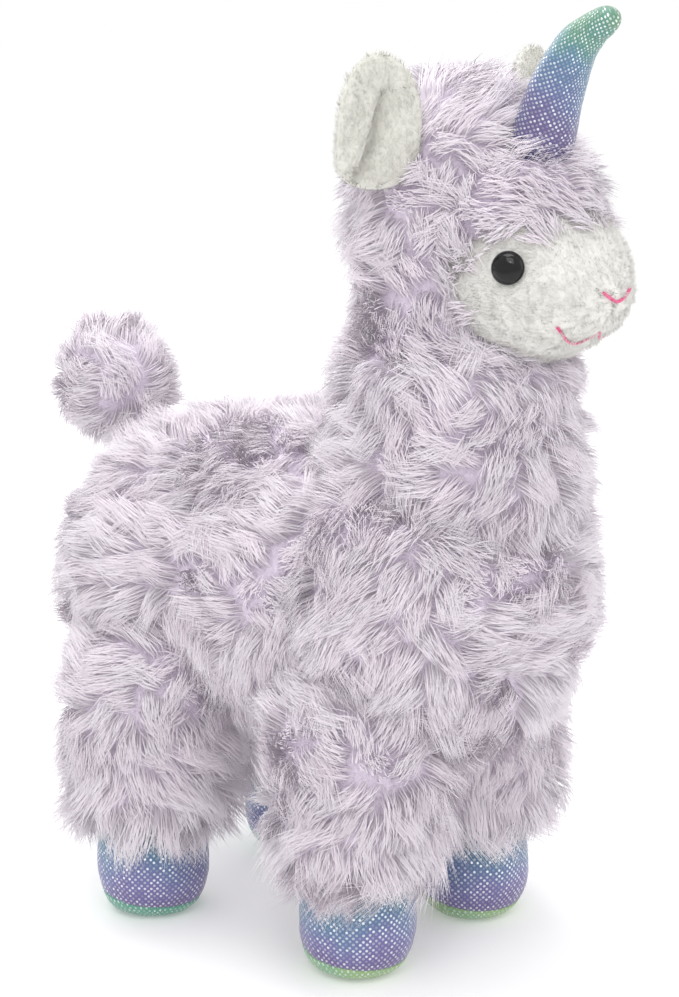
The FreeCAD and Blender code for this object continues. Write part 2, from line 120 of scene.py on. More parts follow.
soft_lamp("key_lamp", Vector((-0.7, -0.5, 1.2)), 0.8, 4.3)
soft_lamp("top_lamp", Vector((0.05, 0.1, 1.3)), 0.7, 5.4)
soft_lamp("fill_lamp", Vector((0.9, -1.0, 0.55)), 1.0, 1.6)
soft_lamp("catch_lamp", Vector((-0.62, -0.42, 0.75)), 0.07, 0.35)
soft_lamp("back_lamp", Vector((0.2, 1.1, 0.9)), 0.9, 4.4)
scene.world = scene.world or bpy.data.worlds.new("world")
scene.world.use_nodes = True
sky = scene.world.node_tree.nodes["Background"]
sky.inputs["Color"].default_value = (1, 1, 1, 1)
sky.inputs["Strength"].default_value = 1.0

# %% [markdown]
# ## Materials
# Each finish is a small tree of nodes. The effects that several of them share are node
# groups, built once: `fibre` is a fine mottled streak for cloth and pile, and `dots` is
# the grid of tiny foil dots pressed on the stretch cloth, each dot with a random painted
# glint.

# %% Helpers for node trees
def wire(tree, kind, inputs=None, **settings):
    """Adds a node, sets its properties, and fills its inputs with values or links."""
    node = tree.nodes.new(kind)
    for name, value in settings.items():
        setattr(node, name, value)
    for name, value in (inputs or {}).items():
        if isinstance(value, bpy.types.NodeSocket):
            tree.links.new(value, node.inputs[name])
        else:
            node.inputs[name].default_value = value
    return node


def ramp(tree, factor, stops):
    node = wire(tree, "ShaderNodeValToRGB", {"Fac": factor})
    points = node.color_ramp.elements
    while len(points) < len(stops):
        points.new(0.5)
    for point, (place, colour) in zip(points, stops):
        point.position = place
        point.color = (*colour, 1)
    return node.outputs["Color"]


def srgb(text):
    """A colour as artists write it, six hexadecimal digits, turned into linear light."""
    parts = [int(text[i:i + 2], 16) / 255 for i in (0, 2, 4)]
    return tuple(v / 12.92 if v <= 0.04045 else ((v + 0.055) / 1.055) ** 2.4 for v in parts)


def new_group(name, inputs, outputs):
    tree = bpy.data.node_groups.new(name, "ShaderNodeTree")
    for socket, default in inputs.items():
        made = tree.interface.new_socket(socket, in_out="INPUT", socket_type="NodeSocketVector" if default is None else "NodeSocketFloat")
        if default is not None:
            made.default_value = default
    for socket, kind in outputs.items():
        tree.interface.new_socket(socket, in_out="OUTPUT", socket_type=kind)
    return tree, tree.nodes.new("NodeGroupInput"), tree.nodes.new("NodeGroupOutput")


fibre, group_in, group_out = new_group(
    "fibre", {"Place": None, "Size": 900.0, "Depth": 0.3}, {"Shade": "NodeSocketFloat", "Normal": "NodeSocketVector"})
fine = wire(fibre, "ShaderNodeTexNoise", {"Vector": group_in.outputs["Place"], "Scale": group_in.outputs["Size"], "Detail": 4.0, "Roughness": 0.7})
bumped = wire(fibre, "ShaderNodeBump", {"Height": fine.outputs["Fac"], "Strength": group_in.outputs["Depth"], "Distance": 0.0006})
fibre.links.new(fine.outputs["Fac"], group_out.inputs["Shade"])
fibre.links.new(bumped.outputs["Normal"], group_out.inputs["Normal"])

dots, group_in, group_out = new_group(
    "dots", {"Place": None, "Spacing": 1000.0, "Raise": 0.3},
    {"Mask": "NodeSocketFloat", "Sparkle": "NodeSocketFloat", "Normal": "NodeSocketVector"})
turned = wire(dots, "ShaderNodeMapping", {"Vector": group_in.outputs["Place"], "Rotation": (0, 0, math.radians(45))})
cells = wire(dots, "ShaderNodeTexVoronoi", {"Vector": turned.outputs["Vector"], "Scale": group_in.outputs["Spacing"], "Randomness": 0.16}, voronoi_dimensions="2D")
inside = wire(dots, "ShaderNodeMapRange", {"Value": cells.outputs["Distance"], "From Min": 0.34, "From Max": 0.24, "To Min": 0.0, "To Max": 1.0})
# Each dot gets a random share of silver and metal from its cell colour: a painted glint, as if some dots catch the
# light more than others.
twinkle = wire(dots, "ShaderNodeSeparateColor", {"Color": cells.outputs["Color"]})
lit = wire(dots, "ShaderNodeMapRange", {"Value": twinkle.outputs["Red"], "From Min": 0.1, "From Max": 0.9, "To Min": 0.12, "To Max": 0.8})
mask = wire(dots, "ShaderNodeMath", {0: inside.outputs["Result"], 1: lit.outputs["Result"]}, operation="MULTIPLY")
raised = wire(dots, "ShaderNodeBump", {"Height": inside.outputs["Result"], "Strength": group_in.outputs["Raise"], "Distance": 0.0002})
dots.links.new(mask.outputs["Value"], group_out.inputs["Mask"])
dots.links.new(twinkle.outputs["Green"], group_out.inputs["Sparkle"])
dots.links.new(raised.outputs["Normal"], group_out.inputs["Normal"])
print("node groups:", [g.name for g in bpy.data.node_groups])

# %% [markdown]
# ## The fur's colour
# Every fibre of the long pile is darker and more violet near the cloth and pale at its
# tip; the darkening near the cloth is painted shade, the shade that falls deep in the pile.
# The colour runs along the fibre on the fibre's own UV map: V goes from root to tip
# and U picks one of many slightly different shades, so neighbouring tufts differ.

# %% Long pile and underfur
FUR_MAP = "OFBake"


def fresh(name):
    material = bpy.data.materials.new(name)
    material.use_nodes = True
    return material, material.node_tree, material.node_tree.nodes["Principled BSDF"]


def pile(name, root, middle, tip, warm, painted_glow):
    material, tree, surface = fresh(name)
    place = wire(tree, "ShaderNodeUVMap", uv_map=FUR_MAP)
    split = wire(tree, "ShaderNodeSeparateXYZ", {"Vector": place.outputs["UV"]})
    # The ramp darkens each fibre towards its root: painted shade deep in the pile.
    along = ramp(tree, split.outputs["Y"], [(0.05, srgb(root)), (0.5, srgb(middle)), (0.85, srgb(tip))])
    line = wire(tree, "ShaderNodeCombineXYZ", {"X": split.outputs["X"]})
    shades = wire(tree, "ShaderNodeTexNoise", {"Vector": line.outputs["Vector"], "Scale": 14.0, "Detail": 2.0})
    spread = wire(tree, "ShaderNodeMapRange", {"Value": shades.outputs["Fac"], "From Min": 0.3, "From Max": 0.7, "To Min": 0.9, "To Max": 1.03})
    hue = wire(tree, "ShaderNodeTexNoise", {"Vector": line.outputs["Vector"], "Scale": 5.0, "Detail": 1.0})
    warmth = wire(tree, "ShaderNodeMapRange", {"Value": hue.outputs["Fac"], "From Min": 0.4, "From Max": 0.65, "To Min": 0.0, "To Max": 0.55})
    tinted = wire(tree, "ShaderNodeMix", {"Factor": warmth.outputs["Result"], "A": along, "B": (*srgb(warm), 1)}, data_type="RGBA", blend_type="MULTIPLY")
    shaded = wire(tree, "ShaderNodeVectorMath", {0: tinted.outputs["Result"], "Scale": spread.outputs["Result"]}, operation="SCALE")
    tree.links.new(shaded.outputs["Vector"], surface.inputs["Base Color"])
    surface.inputs["Roughness"].default_value = 0.55
    surface.inputs["Specular IOR Level"].default_value = 0.25
    surface.inputs["Sheen Weight"].default_value = 0.2
    surface.inputs["Sheen Roughness"].default_value = 0.4
    # A faint glow in the pile's middle colour: painted light that stands in for light passed from fibre to fibre.
    surface.inputs["Emission Color"].default_value = (*srgb(middle), 1)
    surface.inputs["Emission Strength"].default_value = painted_glow
    return material


long_pile = pile("lilac_long_pile", "cac0cd", "e2dbe3", "ece7ec", "fbf2f7", 0.13)
short_pile = pile("white_short_pile", "dcdbd6", "e3e2de", "e9e8e4", "fbfaf5", 0.03)
# The ear pile is a darker copy of the face's white pile: the darkening is painted shade.
ear_pile = pile("white_ear_pile", "cfcec6", "d6d5cd", "dddcd5", "fbfaf5", 0.03)

underfur, tree, surface = fresh("lilac_underfur")
where = wire(tree, "ShaderNodeTexCoord")
streaks = wire(tree, "ShaderNodeGroup", {}, node_tree=fibre)
streaks.inputs["Size"].default_value = 700.0
streaks.inputs["Depth"].default_value = 0.6
tree.links.new(where.outputs["Object"], streaks.inputs["Place"])
tree.links.new(ramp(tree, streaks.outputs["Shade"], [(0.3, srgb("cfc2d5")), (0.7, srgb("e2d8e6"))]), surface.inputs["Base Color"])
tree.links.new(streaks.outputs["Normal"], surface.inputs["Normal"])
surface.inputs["Roughness"].default_value = 0.9

white_plush, tree, surface = fresh("white_plush")
where = wire(tree, "ShaderNodeTexCoord")
streaks = wire(tree, "ShaderNodeGroup", {}, node_tree=fibre)
streaks.inputs["Size"].default_value = 1300.0
streaks.inputs["Depth"].default_value = 0.25
tree.links.new(where.outputs["Object"], streaks.inputs["Place"])
tree.links.new(ramp(tree, streaks.outputs["Shade"], [(0.3, srgb("d9d8d3")), (0.7, srgb("e6e5e1"))]), surface.inputs["Base Color"])
tree.links.new(streaks.outputs["Normal"], surface.inputs["Normal"])
surface.inputs["Roughness"].default_value = 0.85
surface.inputs["Sheen Weight"].default_value = 0.3
# The ear plush is the face's white plush made darker: painted shade.
ear_plush = white_plush.copy()
ear_plush.name = "white_ear_plush"
stops = next(n for n in ear_plush.node_tree.nodes if n.bl_idname == "ShaderNodeValToRGB").color_ramp.elements
stops[0].color, stops[1].color = (*srgb("cccbc3"), 1), (*srgb("dad9d2"), 1)
print("pile materials ready")

# %% [markdown]
# ## The dotted stretch cloth
# The horn and hooves share one cloth: a satin jersey whose dye and iridescent sheen show as
# soft rainbow patches, pressed with tiny silver dots. The colour runs along the piece, so
# each material maps the height, or the way along the horn, to a ramp of colours, stirred
# with a slow noise; the ramp holds the dye together with the cloth's sheen, painted as fixed colour.

# %% Dotted cloth
CLOTH_MAP = "cloth"


def dotted_cloth(name, direction, low, high, stops, spacing=680.0):
    """direction: the line that the colour follows, dye and painted sheen together; low and high: where its ramp starts
    and ends.
    """
    material, tree, surface = fresh(name)
    where = wire(tree, "ShaderNodeTexCoord").outputs["Object"]
    along = wire(tree, "ShaderNodeVectorMath", {0: where, 1: tuple(direction)}, operation="DOT_PRODUCT")
    clouds = wire(tree, "ShaderNodeTexNoise", {"Vector": where, "Scale": 70.0, "Detail": 2.0})
    drift = wire(tree, "ShaderNodeMapRange", {"Value": clouds.outputs["Fac"], "From Min": 0.3, "From Max": 0.7, "To Min": -0.16, "To Max": 0.16})
    level = wire(tree, "ShaderNodeMapRange", {"Value": along.outputs["Value"], "From Min": low, "From Max": high})
    mixed = wire(tree, "ShaderNodeMath", {0: level.outputs["Result"], 1: drift.outputs["Result"]}, operation="ADD")
    # The ramp gives the cloth's dye together with its iridescent sheen, painted as fixed colour along the piece.
    dye_and_painted_sheen = ramp(tree, mixed.outputs["Value"], [(place, srgb(colour)) for place, colour in stops])
    foil = wire(tree, "ShaderNodeGroup", {}, node_tree=dots)
    foil.inputs["Spacing"].default_value = spacing
    foil.inputs["Raise"].default_value = 0.5
    tree.links.new(wire(tree, "ShaderNodeUVMap", uv_map=CLOTH_MAP).outputs["UV"], foil.inputs["Place"])
    silver = wire(tree, "ShaderNodeMix", {"Factor": foil.outputs["Mask"], "A": dye_and_painted_sheen, "B": (0.86, 0.9, 0.93, 1)}, data_type="RGBA")
    shine = wire(tree, "ShaderNodeMapRange", {"Value": foil.outputs["Mask"], "To Min": 0.42, "To Max": 0.22})
    tree.links.new(silver.outputs["Result"], surface.inputs["Base Color"])
    tree.links.new(shine.outputs["Result"], surface.inputs["Roughness"])
    tree.links.new(foil.outputs["Mask"], surface.inputs["Metallic"])
    tree.links.new(foil.outputs["Normal"], surface.inputs["Normal"])
    surface.inputs["Sheen Weight"].default_value = 0.2
    return material


hoof_cloth = dotted_cloth("dotted_cloth_hoof", (0, 0, 1), 0.006, 0.034,
                          [(0.0, "655488"), (0.3, "6a6699"), (0.55, "5b7399"), (0.8, "4c7890"), (1.0, "46727e")])
sole_cloth = dotted_cloth("dotted_cloth_sole", (0, -1, 0.4), -0.06, 0.06,
                          [(0.0, "4f8f7c"), (0.5, "5c9f86"), (1.0, "8fae76")])

# %% [markdown]
# ## Small hard and sewn parts
# The eyes are glossy black plastic domes. The nose and mouth are satin stitches in pink
# embroidery thread, so their material twists fine diagonal strands round each stroke.

# %% Eyes and thread
eye_plastic, tree, surface = fresh("black_eye_plastic")
where = wire(tree, "ShaderNodeTexCoord").outputs["Object"]
scuff = wire(tree, "ShaderNodeTexNoise", {"Vector": where, "Scale": 900.0, "Detail": 3.0})
tree.links.new(ramp(tree, scuff.outputs["Fac"], [(0.3, srgb("050506")), (0.8, srgb("0c0b0d"))]), surface.inputs["Base Color"])
gloss = wire(tree, "ShaderNodeMapRange", {"Value": scuff.outputs["Fac"], "To Min": 0.04, "To Max": 0.12})
tree.links.new(gloss.outputs["Result"], surface.inputs["Roughness"])
surface.inputs["Specular IOR Level"].default_value = 0.3
surface.inputs["Coat Weight"].default_value = 0.15
surface.inputs["Coat Roughness"].default_value = 0.03

thread, tree, surface = fresh("pink_thread")
where = wire(tree, "ShaderNodeTexCoord").outputs["Object"]
twist = wire(tree, "ShaderNodeTexWave", {"Vector": where, "Scale": 900.0, "Distortion": 1.5, "Detail": 1.0}, bands_direction="DIAGONAL")
# The pink is darker and lighter in bands that follow the same wave as the ridges: painted shade between the strands and
# painted highlight on them.
tree.links.new(ramp(tree, twist.outputs["Fac"], [(0.2, srgb("cf3f74")), (0.8, srgb("ee76a2"))]), surface.inputs["Base Color"])
ridges = wire(tree, "ShaderNodeBump", {"Height": twist.outputs["Fac"], "Strength": 0.5, "Distance": 0.0002})
tree.links.new(ridges.outputs["Normal"], surface.inputs["Normal"])
surface.inputs["Roughness"].default_value = 0.45

washer_plastic, tree, surface = fresh("washer_plastic")
where = wire(tree, "ShaderNodeTexCoord").outputs["Object"]
mottle = wire(tree, "ShaderNodeTexNoise", {"Vector": where, "Scale": 300.0})
tree.links.new(ramp(tree, mottle.outputs["Fac"], [(0.3, srgb("cfcfca")), (0.8, srgb("e2e2de"))]), surface.inputs["Base Color"])


def dress(node, material):
    """Gives a CAD node that stays its new finish."""
    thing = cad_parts[node]
    thing.data.materials.clear()
    thing.data.materials.append(material)
    return thing


for side in ("left", "right"):
    dress("eye_" + side, eye_plastic)
    dress("eye_washer_" + side, washer_plastic)
for stitch in ("nose_stitching", "mouth_stitching"):
    dress(stitch, thread)
print("eyes, washers and stitching dressed")

# %% [markdown]
# ## The hides
# Under the long pile lies the cloth it is woven into, pulled tight over the stuffing.
# The CAD model holds each stuffed part as a solid, so a hide starts as a copy of it. A
# voxel remesh gives even faces, a few rounds of smoothing soften the edges as stuffing
# does, and the shape then swells a little along its normals. It is almost hidden by the
# fur, so a simulation would add nothing here.

# %% Make a hide from CAD solids
def evaluated_copy(thing, name):
    fresh_mesh = bpy.data.meshes.new_from_object(thing.evaluated_get(bpy.context.evaluated_depsgraph_get()))
    fresh_mesh.name = name
    return fresh_mesh


def soft_form(name, nodes, voxel, smoothing, swell, material, fuller=None):
    bm = bmesh.new()
    for node in nodes:
        bm.from_mesh(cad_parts[node].data)
    bmesh.ops.remove_doubles(bm, verts=bm.verts, dist=1e-6)
    rough = object_from(bm, name + "_rough")
    remesh = rough.modifiers.new("even", "REMESH")
    remesh.mode = "VOXEL"
    remesh.voxel_size = voxel
    mesh = evaluated_copy(rough, name)
    bpy.data.objects.remove(rough)
    bm = bmesh.new()
    bm.from_mesh(mesh)
    for _ in range(smoothing):
        bmesh.ops.smooth_vert(bm, verts=bm.verts, factor=0.5, use_axis_x=True, use_axis_y=True, use_axis_z=True)
    bm.normal_update()
    for vert in bm.verts:
        vert.co += vert.normal * (swell + (fuller(vert.co) if fuller else 0))
    bmesh.ops.recalc_face_normals(bm, faces=bm.faces)
    bpy.data.meshes.remove(mesh)
    form = object_from(bm, name, material)
    return form


def bump(distance, reach):
    """1 at no distance, falling away smoothly over the reach."""
    return math.exp(-(distance / reach) ** 2)


def fuller_head(place):
    """The stuffing stands up round the horn, where the brow and the crown meet it."""
    return MM * (3.0 * bump((place - Vector((0, -0.1, 0.261))).length, 0.016)
                 + 3.0 * bump((place - Vector((0, -0.066, 0.281))).length, 0.022))


def fuller_hem(place):
    return 4.0 * MM * min(1.0, max(0.0, (0.075 - place.z) / 0.03))


LEGS = ("front_left", "front_right", "rear_left", "rear_right")
HIDES = {
    "body": (["body_stuffing"], 0.0035, 6, 0.0022, ["body_stuffing", "body_fur_left", "body_fur_right", "belly_gusset"]),
    "neck": (["neck_stuffing"], 0.003, 4, 0.0032, ["neck_stuffing", "neck_fur"]),
    "head": (["head_stuffing"], 0.0025, 3, 0.0005, ["head_stuffing", "head_fur_left", "head_fur_right"]),
    "tail": (["tail_stuffing"], 0.002, 3, 0.001, ["tail_stuffing", "tail_fur"]),
}
for leg in LEGS:
    HIDES["leg_" + leg] = (["leg_stuffing_" + leg], 0.003, 4, 0.001, ["leg_stuffing_" + leg, "leg_fur_" + leg])

hides = {}
for body, (nodes, voxel, smoothing, swell, stands_for) in HIDES.items():
    fuller = fuller_head if body == "head" else fuller_hem if body.startswith("leg") else None
    hide = soft_form("hide_" + body, nodes, voxel, smoothing, swell, underfur, fuller)
    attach(hide, body)
    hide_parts(*stands_for)
    hides[body] = hide
    print(hide.name, len(hide.data.polygons), "faces")

# %% [markdown]
# ## One fibre
# All the fur is made of one template: a three-sided cone, closed at its root, with one
# ring half way so that it can bend. It is only ten triangles, because it is repeated
# many thousands of times. Its height runs from 0 to 1 and its radius is 1, so that it
# can be laid along any curve at any thickness.

# %% The template fibre
bm = bmesh.new()
bmesh.ops.create_cone(bm, cap_ends=True, segments=3, radius1=1, radius2=0, depth=1, matrix=Matrix.Translation((0, 0, 0.5)))
bmesh.ops.remove_doubles(bm, verts=bm.verts, dist=1e-5)
sides = [e for e in bm.edges if abs(e.verts[0].co.z - e.verts[1].co.z) > 0.5]
bmesh.ops.subdivide_edges(bm, edges=sides, cuts=1)
bmesh.ops.rotate(bm, verts=bm.verts, cent=(0, 0, 0), matrix=Matrix.Rotation(math.atan2(1, 0) - math.atan2(
    max(v.co.y for v in bm.verts), [v.co.x for v in bm.verts if v.co.y == max(w.co.y for w in bm.verts)][0]), 3, "Z"))
for vert in bm.verts:
    if 0.4 < vert.co.z < 0.6:
        vert.co.x *= 1.55
        vert.co.y *= 1.55
    vert.co.y *= 0.4
bmesh.ops.recalc_face_normals(bm, faces=bm.faces)
bm.verts.ensure_lookup_table()
fibre_points = np.array([v.co[:] for v in bm.verts])
fibre_loops = np.array([v.index for f in bm.faces for v in f.verts])
fibre_sizes = np.array([len(f.verts) for f in bm.faces])
bm.normal_update()
fibre_under = np.array([f.normal.y < -0.5 for f in bm.faces for v in f.verts])
bm.free()
print("fibre:", len(fibre_points), "points,", len(fibre_sizes), "faces")

# %% [markdown]
# ## Growing the fur
# Long pile falls into tufts: neighbouring fibres lean the same way and draw together
# towards one tip, and each tuft overlaps the next. To copy that, the script scatters
# roots evenly over a hide, scatters tuft centres a few millimetres apart, and gives every
# root to its nearest centre. A tuft's lean comes from a slow swirling noise with a
# comb direction added. Fibres then follow a simple curve: up from the cloth, over in the
# tuft's direction, and in towards the tuft's own line.

# %% Scatter roots and tufts
def scatter(mesh, wanted, density, rng):
    """Even random points on the wanted faces: places, normals and how many."""
    mesh.calc_loop_triangles()
    count = len(mesh.loop_triangles)
    corners = np.empty(count * 3, np.int32)
    mesh.loop_triangles.foreach_get("vertices", corners)
    corners = corners.reshape(-1, 3)
    faces = np.empty(count, np.int32)
    mesh.loop_triangles.foreach_get("polygon_index", faces)
    places = np.empty(len(mesh.vertices) * 3)
    mesh.vertices.foreach_get("co", places)
    places = places.reshape(-1, 3)
    normals = np.empty(len(mesh.vertices) * 3, np.float32)
    mesh.vertex_normals.foreach_get("vector", normals)
    normals = normals.reshape(-1, 3)
    a, b, c = (places[corners[:, i]] for i in range(3))
    area = np.linalg.norm(np.cross(b - a, c - a), axis=1) / 2 * wanted[faces]
    number = int(area.sum() * density)
    pick = np.searchsorted(np.cumsum(area) / area.sum(), rng.random(number))
    pick = pick.clip(0, count - 1)
    u, v = rng.random(number), rng.random(number)
    over = u + v > 1
    u[over], v[over] = 1 - u[over], 1 - v[over]
    w = 1 - u - v
    share = np.stack([w, u, v], 1)[:, :, None]
    at = (places[corners[pick]] * share).sum(1)
    up = (normals[corners[pick]] * share).sum(1)
    return at, up / np.linalg.norm(up, axis=1, keepdims=True)


def spaced(at, gap, rng):
    """Picks points at least a gap apart, in a fixed random order."""
    order = rng.permutation(len(at))[:12000]
    kept = []
    cells = {}
    for i in order:
        key = tuple((at[i] // gap).astype(int))
        near = [j for dx in (-1, 0, 1) for dy in (-1, 0, 1) for dz in (-1, 0, 1)
                for j in cells.get((key[0] + dx, key[1] + dy, key[2] + dz), ())]
        if all(np.linalg.norm(at[i] - at[j]) >= gap for j in near):
            kept.append(i)
            cells.setdefault(key, []).append(i)
    return np.array(kept)


def unit(v):
    return v / np.maximum(np.linalg.norm(v, axis=-1, keepdims=True), 1e-12)


def nearest(points, centres):
    found = np.empty(len(points), np.int64)
    for start in range(0, len(points), 4000):
        part = points[start:start + 4000]
        found[start:start + 4000] = ((part[:, None] - centres[None]) ** 2).sum(2).argmin(1)
    return found


# %% Lay the fibres along their tufts
def fibres_mesh(name, root, bend, tip, up, facing, radius, tone, material):
    """One mesh of closed fibres, each laid along its own bent line."""
    number, points = len(root), len(fibre_points)
    t = fibre_points[:, 2][None, :, None]
    line = root[:, None] * (1 - t) ** 2 + 2 * bend[:, None] * t * (1 - t) + tip[:, None] * t ** 2
    run = unit((bend - root)[:, None] * (1 - t) + (tip - bend)[:, None] * t)
    side = unit(np.cross(up[:, None], run))
    lift = np.cross(run, side)
    wide = radius[:, None, None]
    verts = line + side * fibre_points[:, 0][None, :, None] * wide + lift * fibre_points[:, 1][None, :, None] * wide
    mesh = bpy.data.meshes.new(name)
    mesh.vertices.add(number * points)
    mesh.vertices.foreach_set("co", verts.astype(np.float32).ravel())
    loops = (fibre_loops[None] + np.arange(number)[:, None] * points).ravel()
    mesh.loops.add(len(loops))
    mesh.loops.foreach_set("vertex_index", loops.astype(np.int32))
    sizes = np.tile(fibre_sizes, number)
    mesh.polygons.add(len(sizes))
    starts = np.concatenate([[0], np.cumsum(sizes)[:-1]])
    mesh.polygons.foreach_set("loop_start", starts.astype(np.int32))
    mesh.update(calc_edges=True)
    skew = (fibre_points[:, 0] + 0.6 * fibre_points[:, 1]) * 0.006
    uv = np.stack([
        (tone[:, None] + skew[fibre_loops][None]).ravel(),
        np.tile(0.02 + 0.96 * fibre_points[fibre_loops, 2], number)], 1)
    layer = mesh.uv_layers.new(name=FUR_MAP)
    layer.uv.foreach_set("vector", uv.astype(np.float32).ravel())
    mesh.shade_smooth()
    around = side * fibre_points[:, 0][None, :, None] * 0.3
    soft = unit(facing[:, None] + around)[:, fibre_loops]
    soft[:, fibre_under] *= -1
    mesh.normals_split_custom_set(soft.reshape(-1, 3).astype(np.float32))
    return mesh_object(name, mesh, material)


def grow(name, body, hide, wanted, comb, material=None, seed=1, density=1.33e6, gap=0.0054,
         length=0.012, lean=54, radius=0.00024, draw=0.5, swirl=1.0, scale=32.0, wander=50,
         most=19500, hang=None, relief=0.5, clear=()):
    """Fur on a hide. comb: where the tufts point on the whole; wander: how far, in degrees, one tuft turns from its
    neighbours; draw: how far a tuft's fibres close up at the tip; hang: makes chosen tufts longer; relief: how
    rounded a tuft looks; clear: places, with a distance, that no fibre covers."""
    rng = np.random.default_rng(seed)
    at, up = scatter(hide.data, wanted, density * (1.0), rng)
    keep = spaced(at, gap, rng)
    centres, ups = at[keep], up[keep]
    count = len(centres)
    stirred = np.array([list(noise.noise_vector(Vector(c) * scale + Vector((seed * 7.3, 0, 0)))) for c in centres])
    way = (comb(centres) if callable(comb) else np.array(comb)[None]) + swirl * stirred * 1.5
    way = unit(way - (way * ups).sum(1, keepdims=True) * ups)
    turn = np.radians(rng.uniform(-wander, wander, count))[:, None]
    way = way * np.cos(turn) + np.cross(ups, way) * np.sin(turn)
    tuft_length = length * rng.uniform(0.8, 1.25, count)
    if hang is not None:
        tuft_length = tuft_length * hang(centres)
    tuft_lean = np.radians(lean + rng.uniform(-22, 12, count))
    tuft_tone = rng.random(count)
    mine = nearest(at + rng.normal(0, gap * 0.12, at.shape), centres)
    d = way[mine]
    d = unit(d - (d * up).sum(1, keepdims=True) * up)
    d = unit(d + rng.normal(0, 0.13, d.shape))
    off = at - centres[mine]
    off -= (off * d).sum(1, keepdims=True) * d
    size = tuft_length[mine] * rng.uniform(0.75, 1.1, len(at))
    tilt = tuft_lean[mine] + rng.normal(0, 0.08, len(at))
    rise, reach = size * np.cos(tilt), size * np.sin(tilt)
    root = at - up * 0.0012
    bend = at + up * (rise * 0.8)[:, None] + d * (reach * 0.3)[:, None] - off * draw * 0.2
    tip = at + up * (rise * 0.9)[:, None] + d * reach[:, None] - off * draw
    facing = unit(up + unit(d) * 0.25 + off / gap * relief)
    covers = np.zeros(len(at), bool)
    for place, reach_of in clear:
        for point in (tip, bend, (tip + bend) / 2):
            covers |= np.linalg.norm(point - np.array(place)[None], axis=1) < reach_of
    at, up, root, bend, tip, facing, mine = (v[~covers] for v in (at, up, root, bend, tip, facing, mine))
    tone = 0.04 + 0.92 * (0.8 * tuft_tone[mine] + 0.2 * rng.random(len(at)))
    parts = max(1, math.ceil(len(at) / most))
    order = np.argsort(at[:, 1]) if parts > 1 else np.arange(len(at))
    made = []
    for i, chosen in enumerate(np.array_split(order, parts)):
        tuft = fibres_mesh("%s_%d" % (name, i + 1), root[chosen], bend[chosen], tip[chosen], up[chosen], facing[chosen],
                           np.full(len(chosen), radius), tone[chosen], material or long_pile)
        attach(tuft, body)
        made.append(tuft)
    print(name, len(at), "fibres,", count, "tufts,", parts, "pieces")
    return made


# %% [markdown]
# ## Where fur grows
# A hide also has faces that lie inside its neighbour, such as the round top of a leg
# inside the body. No fur grows there. A face counts as buried when it lies inside
# another hide, which the script tests with the nearest point and its normal.

# %% Open faces of each hide
def tree_of(*things):
    verts, polys = [], []
    for thing in things:
        start = len(verts)
        verts += [v.co.copy() for v in thing.data.vertices]
        polys += [[start + i for i in p.vertices] for p in thing.data.polygons]
    return BVHTree.FromPolygons(verts, polys)


hide_trees = {body: tree_of(hide) for body, hide in hides.items()}


def open_faces(body, skip=()):
    hide = hides[body]
    wanted = np.ones(len(hide.data.polygons))
    others = [t for name, t in hide_trees.items() if name != body and name not in skip]
    for i, face in enumerate(hide.data.polygons):
        for tree in others:
            spot, normal, _, far = tree.find_nearest(face.center, 0.02)
            if spot is not None and ((face.center - spot).dot(normal) < 0 or (far < 0.0012 and face.normal.dot(normal) < 0)):
                wanted[i] = 0
                break
    return wanted


bare = {}
for body in hides:
    bare[body] = open_faces(body)
    print(body, "open share", round(float(bare[body].mean()), 2))

face_tree = tree_of(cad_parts["face_left"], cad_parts["face_right"])
cap_tree = tree_of(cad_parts["head_fur_left"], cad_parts["head_fur_right"])
for i, face in enumerate(hides["head"].data.polygons):
    to_face = face_tree.find_nearest(face.center)[3]
    to_cap = cap_tree.find_nearest(face.center)[3]
    if to_face + 0.003 < to_cap:
        bare["head"][i] = 0

# %% Grow the long pile
def down_and_out(centre):
    def comb(points):
        out = points - np.array(centre)[None]
        out[:, 2] = 0
        low = np.clip((0.075 - points[:, 2:3]) / 0.04, 0, 1)
        return unit(out) * 0.35 + np.array([0, 0, -0.45]) - low * np.array([0, 0, 1.4])
    return comb


def longer_at_hem(points):
    return 1 + 0.7 * np.clip((0.055 - points[:, 2]) / 0.02, 0, 1)


def shorter_at_brow(points):
    return 1 - 0.3 * np.clip((-0.085 - points[:, 1]) / 0.015, 0, 1)


def over_the_face(points):
    """Brow and cheek fur is brushed forward over the edge of the face; the rest falls as it likes."""
    near = np.clip((-0.055 - points[:, 1:2]) / 0.015, 0, 1)
    brow = np.clip((points[:, 2:3] - 0.245) / 0.01, 0, 1)
    return np.array([0, -0.2, -0.25]) + near * np.array([0, -0.9, 0.1]) + brow * near * np.array([0, 0.5, -0.7])


def away_from(centre):
    def comb(points):
        return unit(points - np.array(centre)[None]) * 0.2
    return comb


def middle(node):
    low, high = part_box(node)
    return [(a + b) / 2 for a, b in zip(low, high)]


grow("fur_body", "body", hides["body"], bare["body"], (0, 0.05, -0.35), seed=11)
grow("fur_neck", "neck", hides["neck"], bare["neck"], (0, -0.1, -0.4), seed=12)
EYES = [Vector((side * 0.0261, -0.0956, 0.232)) for side in (-1, 1)]
grow("fur_head", "head", hides["head"], bare["head"], over_the_face, seed=13, length=0.0115, hang=shorter_at_brow,
     clear=[(eye, 0.0085) for eye in EYES])
grow("fur_tail", "tail", hides["tail"], bare["tail"], away_from(middle("tail_fur")), seed=14, length=0.0105, wander=80)
for number, leg in enumerate(LEGS):
    grow("fur_leg_" + leg, "leg_" + leg, hides["leg_" + leg], bare["leg_" + leg],
         down_and_out(middle("leg_fur_" + leg)), seed=20 + number, hang=longer_at_hem)

# %% [markdown]
# ## The face
# The face is a plump white cushion of short plush, sewn into the furry head.

